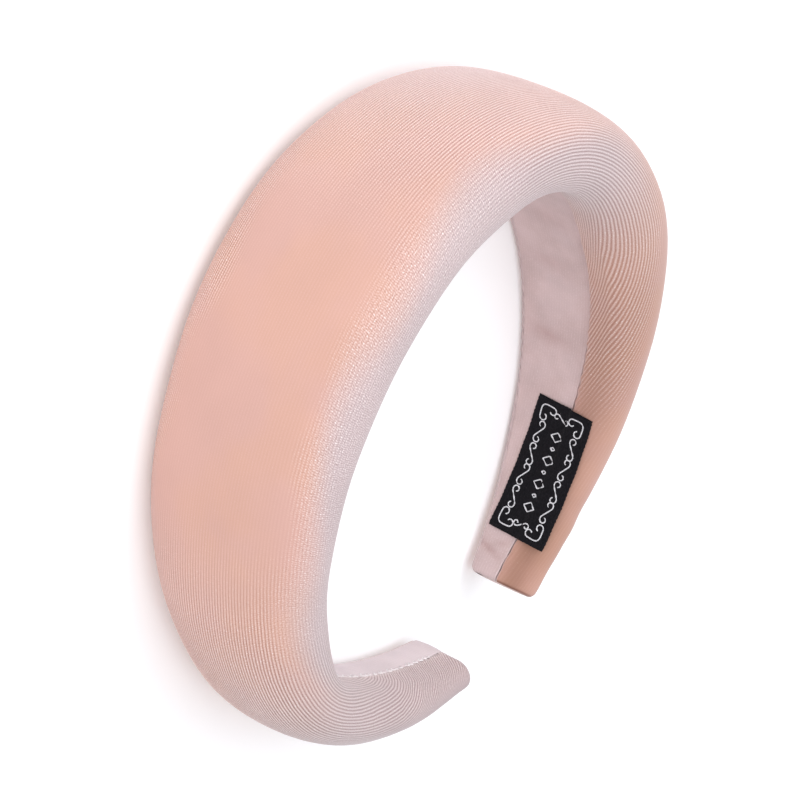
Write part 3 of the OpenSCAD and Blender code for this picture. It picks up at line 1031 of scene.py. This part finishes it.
def drawn(heading, length):
    """A line of that length whose heading is given at every step, its middle at the origin: the
    running sum of the steps' cosines and sines."""
    steps = np.stack([np.cos(heading), np.sin(heading)], 1) * length / (PATH_STEPS - 1)
    line = np.cumsum(steps, 0)
    return line - line[PATH_STEPS // 2]


def lozenge(half_size):
    """Once round a lozenge, from corner to corner in even steps."""
    t = np.linspace(0, 4, PATH_STEPS)
    corners = np.array([[1, 0], [0, 1], [-1, 0], [0, -1], [1, 0]]) * half_size
    return np.stack([np.interp(t, np.arange(5), corners[:, k]) for k in (0, 1)], 1)


s_scroll = drawn(S_LEAN + curled(S_CURL, S_STRAIGHT, S_POWER), S_LENGTH)
hook_curl = np.sign(x) * curled(HOOK_CURL, HOOK_STRAIGHT, HOOK_POWER)
hook = drawn(0.75 * np.pi + HOOK_CORNER * np.tanh(HOOK_SHARP * x) + hook_curl, HOOK_LENGTH)
side_u = (np.arange(SIDE_COUNT) - (SIDE_COUNT - 1) / 2) * SIDE_PITCH
lozenge_u = (np.arange(LOZENGES) - (LOZENGES - 1) / 2) * LOZENGE_PITCH
lines = [s_scroll * [-side * (-1) ** k, 1] + [place, side * SIDE_PLACE]
         for side in (-1, 1) for k, place in enumerate(side_u)]
lines += [(s_scroll * END_S_SIZE * [end, 1])[:, ::-1] + [end * END_PLACE, 0] for end in (-1, 1)]
lines += [(hook + HOOK_PLACE) * [end, side] for end in (-1, 1) for side in (-1, 1)]
lines += [lozenge(SMALL_LOZENGE if k % 2 else OPEN_LOZENGE) + [place, 0]
          for k, place in enumerate(lozenge_u)]
print("lines of the border:", len(lines))

# %% Sew the thread along them
THREAD_WIDTH, THREAD_RISE, THREAD_END, THREAD_SUNK = 0.44, 0.10, 0.4, 0.02
PICK, PICK_DEPTH = 0.42, 0.5
THREAD_ROUND = np.linspace(0, 2 * np.pi, 8, endpoint=False)


def thread(line):
    """A flat tube along a line in the label's plane: an ellipse across its direction at each
    point. Its width is notched by every pick of the weave across the label."""
    ahead = np.gradient(line, axis=0)
    ahead = ahead / np.linalg.norm(ahead, axis=1, keepdims=True)
    aside = np.stack([-ahead[:, 1], ahead[:, 0]], 1)
    pick = 0.5 + 0.5 * np.cos(2 * np.pi * line.sum(1) / PICK)
    half_widths = THREAD_WIDTH / 2 * (1 - PICK_DEPTH * pick)
    half_widths[[0, -1]] *= THREAD_END
    across = half_widths[:, None] * np.cos(THREAD_ROUND)
    rise = THREAD_RISE * (1 - PICK_DEPTH * pick[:, None]) * np.sin(THREAD_ROUND)
    lift = LABEL_TOP - THREAD_SUNK + rise
    return on_label(line[:, :1] + aside[:, :1] * across, line[:, 1:] + aside[:, 1:] * across, lift)


border = make("label_border", [thread(line) for line in lines])
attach(border, "root")

# %% [markdown]
# ## Shader nodes in code
# A material is a small network. One helper places a node and the next ones do a step of
# arithmetic, mix two colours or give a noise. Another starts a group: an effect that more than one
# material can use with its own values. The last one ends a material and puts it on its piece.

# %% Helpers for shader nodes
def put(tree, kind, inputs=(), **settings):
    """A new node with its settings. Each input, by name or number, is linked to a socket or set
    to a value."""
    node = tree.nodes.new(kind)
    for name, value in settings.items():
        setattr(node, name, value)
    for name, value in dict(inputs).items():
        if isinstance(value, bpy.types.NodeSocket):
            tree.links.new(value, node.inputs[name])
        else:
            node.inputs[name].default_value = value
    return node


def work(tree, operation, *values):
    """One step of arithmetic on numbers or sockets."""
    return put(tree, "ShaderNodeMath", enumerate(values), operation=operation).outputs[0]


def times(tree, first, *others):
    """The product of numbers or sockets, one after the other."""
    for other in others:
        first = work(tree, "MULTIPLY", first, other)
    return first


def line(tree, value, slope, base):
    """A value times a slope, and a base added: a straight line."""
    return work(tree, "MULTIPLY_ADD", value, slope, base)


def mixed(tree, factor, first, second, blend_type="MIX"):
    """Two colours mixed by a factor."""
    inputs = {0: factor, 6: first, 7: second}
    return put(tree, "ShaderNodeMix", inputs, data_type="RGBA", blend_type=blend_type).outputs[2]


def eased(tree, value, low, high, bottom=0.0, top=1.0):
    """A value led from low to high onto bottom to top, and held there beyond them."""
    inputs = {"Value": value, "From Min": low, "From Max": high, "To Min": bottom, "To Max": top}
    return put(tree, "ShaderNodeMapRange", inputs, interpolation_type="SMOOTHSTEP").outputs[0]


def noise(tree, place, size, detail=2.0, roughness=0.5):
    """Noise whose features have about that size: a number, or one along and one across."""
    along, across = size if isinstance(size, tuple) else (size, size)
    inputs = {0: place, 1: (1 / along, 1 / across, 1 / along)}
    scaled = put(tree, "ShaderNodeVectorMath", inputs, operation="MULTIPLY").outputs[0]
    inputs = {"Vector": scaled, "Scale": 1.0, "Detail": detail, "Roughness": roughness}
    return put(tree, "ShaderNodeTexNoise", inputs).outputs["Fac"]


print("nodes can be placed")

# %% Start a group, start a material and end one
def effect(name, length_name, length, outputs):
    """A new node group: its tree, and its input and output nodes. It takes a place in the cloth
    and a length, in metres."""
    tree = bpy.data.node_groups.new(name, "ShaderNodeTree")
    tree.interface.new_socket("Cloth", in_out="INPUT", socket_type="NodeSocketVector")
    socket = tree.interface.new_socket(length_name, in_out="INPUT", socket_type="NodeSocketFloat")
    socket.default_value = length
    for output in outputs:
        tree.interface.new_socket(output, in_out="OUTPUT", socket_type="NodeSocketFloat")
    return tree, tree.nodes.new("NodeGroupInput").outputs, tree.nodes.new("NodeGroupOutput")


def material(name):
    """A new material and its tree."""
    made = bpy.data.materials.new(name)
    made.use_nodes = True
    return made, made.node_tree


def wear(piece, made, colour, bump, values):
    """Ends a material and puts it on its piece: its colour, its bump as a height with a strength
    and a depth in mm, and the surface's other values by their names."""
    tree = made.node_tree
    surface = tree.nodes["Principled BSDF"]
    tree.links.new(colour, surface.inputs["Base Color"])
    if bump:
        inputs = {"Height": bump[0], "Strength": bump[1], "Distance": bump[2] * MM}
        tree.links.new(put(tree, "ShaderNodeBump", inputs).outputs[0], surface.inputs["Normal"])
    for name, value in values.items():
        surface.inputs[name].default_value = value
    piece.data.materials.append(made)
    print(made.name, "has", len(tree.nodes), "nodes")


print("materials can be made")

# %% [markdown]
# ## Ribbed pile
# Seen close, each rib of the velvet is a row of leaning tufts, so it looks like a beaded cord.
# Seen across the pile, the tufts stand out and the ribs almost vanish. The ribs themselves are
# in the mesh. This group adds the tufts on top, in the cloth's own coordinates, so that they
# turn and spread with the ribs. It gives how near a point is to a rib's ridge, how near it is
# to a tuft, and a fine fibre pattern.

# %% Build the pile group
TUFT, TUFT_SLANT, TUFT_UNSTEADY = 0.42 * MM, -0.5, 2.0
UNSTEADY_SIZE, FIBRE_SIZE = (2.6 * MM, 1.5 * MM), (0.42 * MM, 0.26 * MM)

pile, given, shown = effect("ribbed pile", "Rib", RIB * MM, ["Ridge", "Tuft", "Fibre"])


def swing(kind, turns):
    """From 0 to 1 and back with every whole turn of a sine or a cosine."""
    return line(pile, work(pile, kind, times(pile, turns, 2 * np.pi)), 0.5, 0.5)


parts = put(pile, "ShaderNodeSeparateXYZ", {0: given["Cloth"]}).outputs
ribs = work(pile, "DIVIDE", parts["Y"], given["Rib"])
unsteady = noise(pile, given["Cloth"], UNSTEADY_SIZE, detail=1.0)
rib_number = {"W": work(pile, "ROUND", ribs)}
step = put(pile, "ShaderNodeTexWhiteNoise", rib_number, noise_dimensions="1D").outputs["Value"]
slant = line(pile, ribs, TUFT_SLANT, work(pile, "DIVIDE", parts["X"], TUFT))
slant = line(pile, unsteady, TUFT_UNSTEADY, work(pile, "ADD", step, slant))
fibre = noise(pile, given["Cloth"], FIBRE_SIZE, detail=1.0)
ridge, tuft = swing("COSINE", ribs), swing("SINE", slant)
for name, value in (("Ridge", ridge), ("Tuft", tuft), ("Fibre", fibre)):
    pile.links.new(value, shown.inputs[name])
print("pile group:", len(pile.nodes), "nodes")

# %% [markdown]
# ## Nap
# Velvet is never one colour. Where the pile leans towards the eye it looks deep and warm, and
# where it leans away it looks pale and cool; that painted shade and painted sheen come from the
# marks on each point. Handling leaves soft patches of both. This group gives two slow patterns
# for the patches, one for light and dark and one for warm and cool.

# %% Build the nap group
PATCH, WARM_APART = 20 * MM, (7.3, 3.1, 0)

nap, given, shown = effect("nap patches", "Patch", PATCH, ["Light", "Warm"])
inputs = {0: given["Cloth"], "Scale": work(nap, "DIVIDE", 1.0, given["Patch"])}
scaled = put(nap, "ShaderNodeVectorMath", inputs, operation="SCALE").outputs[0]
moved = put(nap, "ShaderNodeVectorMath", {0: scaled, 1: WARM_APART}, operation="ADD").outputs[0]
for name, place, detail in (("Light", scaled, 3.0), ("Warm", moved, 2.0)):
    nap.links.new(noise(nap, place, 1.0, detail=detail, roughness=0.55), shown.inputs[name])
print("nap group:", len(nap.nodes), "nodes")

# %% [markdown]
# ## The cover's velvet
# The colours are mixed first and the sheen comes last. A salmon body gets a painted highlight on
# the ridges and painted shade between them. It goes to a cool pale lilac, a painted sheen, on the
# flank that faces the hoop's opening, where the pile leans away. Sheen is the part of the shader
# made for this: it adds light where the surface is seen at a low angle, as fine upright fibres do.
# Painted shade also deepens the inside of the far arm and the far tip's end, and painted light
# brightens the crown and the crease beside the lining's seam.

# %% Start the velvet
VELVET = {"Roughness": 0.9, "Specular IOR Level": 0.15, "Sheen Roughness": 0.4}


def velvet(name, patch):
    """A new velvet and its tree, with the outputs of its pile and of its nap."""
    made, tree = material(name)
    cloth = put(tree, "ShaderNodeUVMap", uv_map="cloth").outputs["UV"]
    ribbed = put(tree, "ShaderNodeGroup", {"Cloth": cloth}, node_tree=pile).outputs
    patches = put(tree, "ShaderNodeGroup", {"Cloth": cloth, "Patch": patch}, node_tree=nap).outputs
    return made, tree, ribbed, patches


def mark(tree, name):
    """A value that the mesh keeps for each point."""
    return put(tree, "ShaderNodeAttribute", attribute_name=name).outputs["Fac"]


made, tree, ribbed, patches = velvet("cover_velvet", PATCH)
print("values of the pile:", [output.name for output in ribbed])

# %% The cover's relief, from 0 to 1: ribs beaded by tufts, or tufts alone on the flank
FLATTENED = -0.93

ridge, tuft, fibre = (ribbed[name] for name in ("Ridge", "Tuft", "Fibre"))
tufty = mark(tree, "tufted")
beaded = times(tree, ridge, line(tree, tuft, 0.6, 0.4))
crosswise = times(tree, tuft, line(tree, ridge, 0.65, 0.35))
inputs = {0: tufty, 2: beaded, 3: crosswise}
rough = put(tree, "ShaderNodeMix", inputs, data_type="FLOAT").outputs[0]
grain = line(tree, tufty, 0.3, 0.5)
coarse = times(tree, rough, work(tree, "SUBTRACT", 1.2, grain))
rough = work(tree, "ADD", coarse, times(tree, fibre, grain))
standing = line(tree, mark(tree, "stroked"), FLATTENED, 1.0)
height = times(tree, rough, standing)
print("relief:", len(tree.nodes), "nodes so far")

# %% Colour the cover
SALMON, WARM_TINT = (0.665, 0.395, 0.335, 1), (0.675, 0.395, 0.315, 1)
COOL_SHEEN, CROWN_SHEEN_TINT = (0.545, 0.43, 0.435, 1), (0.74, 0.54, 0.52, 1)
LEAN_SHADE_TINT, GROOVE_SHADE_TINT = (0.60, 0.56, 0.50, 1), (0.60, 0.47, 0.43, 1)
CREST_HIGHLIGHT_TINT, GLINT_TINT = (1.0, 0.86, 0.83, 1), (1.0, 0.95, 0.95, 1)
END_SHADE_TINT, SEAM_LIGHT_TINT = (0.50, 0.40, 0.36, 1), (0.80, 0.68, 0.66, 1)
CREST_HIGHLIGHT, GROOVE_SHADE, GLINT, END_SHADE_DEPTH, SOFTENED = 0.66, 0.9, 0.8, 0.9, -0.5
COVER_RELIEF = 0.10
COVER_SHEEN = {"Sheen Weight": 0.42, "Sheen Tint": (0.92, 0.90, 0.90, 1)}

colour = mixed(tree, eased(tree, patches["Warm"], 0.38, 0.64), SALMON, WARM_TINT)
# A band of painted sheen over the crown.
colour = mixed(tree, mark(tree, "crown_sheen"), colour, CROWN_SHEEN_TINT)
# A cool pale painted sheen where the pile leans away.
colour = mixed(tree, mark(tree, "pale_sheen"), colour, COOL_SHEEN)
deep = mark(tree, "deep")
# Painted shade where the pile leans towards the eye, in the far arm's crease and on the near arm's
# underside.
colour = mixed(tree, deep, colour, LEAN_SHADE_TINT, "MULTIPLY")
# Painted highlight on the rib crests, and painted shade in the grooves between them.
crest_highlight = times(tree, eased(tree, rough, 0.45, 0.95), standing)
groove_shade = times(tree, eased(tree, rough, 0.5, 0.12), standing)
softened = line(tree, deep, SOFTENED, 1.0)
colour = mixed(tree, times(tree, crest_highlight, softened, CREST_HIGHLIGHT), colour, CREST_HIGHLIGHT_TINT)
colour = mixed(tree, times(tree, groove_shade, softened, GROOVE_SHADE), colour, GROOVE_SHADE_TINT, "MULTIPLY")
glint = times(tree, eased(tree, fibre, 0.60, 0.74), crest_highlight, GLINT)
colour = mixed(tree, glint, colour, GLINT_TINT)
shade = eased(tree, patches["Light"], 0.3, 0.7, 0.975, 1.02)
colour = put(tree, "ShaderNodeHueSaturation", {"Value": shade, "Color": colour}).outputs[0]
# Painted shade along the far tip's end edge.
colour = mixed(tree, times(tree, mark(tree, "end_shade"), END_SHADE_DEPTH), colour, END_SHADE_TINT, "MULTIPLY")
# Painted light that lifts the shaded crease beside the lining's seam.
colour = mixed(tree, mark(tree, "seam_light"), colour, SEAM_LIGHT_TINT)
wear(cover, made, colour, (height, 1.0, COVER_RELIEF), {**VELVET, **COVER_SHEEN})

# %% [markdown]
# ## The lining's velvet
# The same cloth, but pressed flat by glue, so its ribs are faint and it is blotchy and duller.

# %% Colour the lining
LINING_TINT, LINING_DEEP = (0.62, 0.475, 0.465, 1), (0.575, 0.43, 0.415, 1)
LINING_EDGE_LIGHT, DENT_SHADE_TINT = (0.80, 0.71, 0.71, 1), (0.72, 0.60, 0.58, 1)
LINING_CREST, LINING_SHEEN_PALE = (0.80, 0.68, 0.69, 1), (0.70, 0.62, 0.635, 1)
LINING_PATCH, LINING_RELIEF = 10 * MM, 0.04
LINING_SHEEN = {"Sheen Weight": 0.35, "Sheen Tint": (0.9, 0.86, 0.92, 1)}

made, tree, ribbed, patches = velvet("lining_velvet", LINING_PATCH)
rough = line(tree, ribbed["Fibre"], 0.85, times(tree, ribbed["Ridge"], 0.15))
colour = mixed(tree, eased(tree, patches["Light"], 0.35, 0.65), LINING_DEEP, LINING_TINT)
# A pale painted sheen towards the near tip.
colour = mixed(tree, mark(tree, "pale_sheen"), colour, LINING_SHEEN_PALE)
shade = eased(tree, patches["Warm"], 0.3, 0.7, 0.94, 1.05)
colour = put(tree, "ShaderNodeHueSaturation", {"Value": shade, "Color": colour}).outputs[0]
colour = mixed(tree, times(tree, eased(tree, rough, 0.45, 0.8), 0.35), colour, LINING_CREST)
# Painted light along the folded edges.
colour = mixed(tree, mark(tree, "edge_light"), colour, LINING_EDGE_LIGHT)
# Painted shade in the dents.
colour = mixed(tree, times(tree, mark(tree, "dent_shade"), 0.5), colour, DENT_SHADE_TINT, "MULTIPLY")
wear(lining, made, colour, (rough, 1.0, LINING_RELIEF), {**VELVET, **LINING_SHEEN})

# %% [markdown]
# ## The label's weave
# Fine black threads cross over and under each other, which shows only as a faint grain. The
# border's pale thread floats over several of them at a time, so it has a soft gloss. The
# stitches are of a like thread in pink.

# %% Colour the label, the threads and the floor
WEFT = 0.26 * MM
BLACK, BLACK_LIT = (0.004, 0.0035, 0.005, 1), (0.016, 0.0145, 0.019, 1)
BLACK_FINISH = {"Roughness": 0.8, "Specular IOR Level": 0.12, "Sheen Weight": 0.03, "Sheen Roughness": 0.5}
WEAVE_RELIEF = 0.05
THREADS = [(border, "pale_thread", 0.25, (0.50, 0.50, 0.52, 1), (0.82, 0.82, 0.85, 1)),
           (stitches, "seam_thread", 0.3, (0.82, 0.74, 0.74, 1), (0.95, 0.92, 0.92, 1))]
FLOOR_TINTS = (0.90, 0.90, 0.90, 1), (0.93, 0.93, 0.93, 1)
FLOOR_FINISH = {"Roughness": 0.9, "Specular IOR Level": 0.0, "Emission Color": (1, 1, 1, 1),
                "Emission Strength": 0.17}

made, tree = material("black_weave")
cloth = put(tree, "ShaderNodeUVMap", uv_map="cloth").outputs["UV"]
parts = put(tree, "ShaderNodeSeparateXYZ", {0: cloth}).outputs
over = [work(tree, "SINE", times(tree, parts[axis], np.pi / WEFT)) for axis in ("X", "Y")]
crossing = line(tree, times(tree, *over), 0.5, 0.5)
lit = times(tree, crossing, eased(tree, noise(tree, cloth, (0.8 * MM, 0.3 * MM)), 0.35, 0.7))
wear(label, made, mixed(tree, lit, BLACK, BLACK_LIT), (crossing, 0.8, WEAVE_RELIEF), BLACK_FINISH)

for piece, name, spin, dark, light in THREADS:
    made, tree = material(name)
    spun = noise(tree, put(tree, "ShaderNodeTexCoord").outputs["Object"], spin * MM)
    colour = mixed(tree, eased(tree, spun, 0.3, 0.7), dark, light)
    wear(piece, made, colour, (spun, 0.6, WEAVE_RELIEF), {"Roughness": 0.6})

made, tree = material("floor_paint")
place = put(tree, "ShaderNodeTexCoord").outputs["Object"]
wear(floor, made, mixed(tree, noise(tree, place, 0.4), *FLOOR_TINTS), None, FLOOR_FINISH)
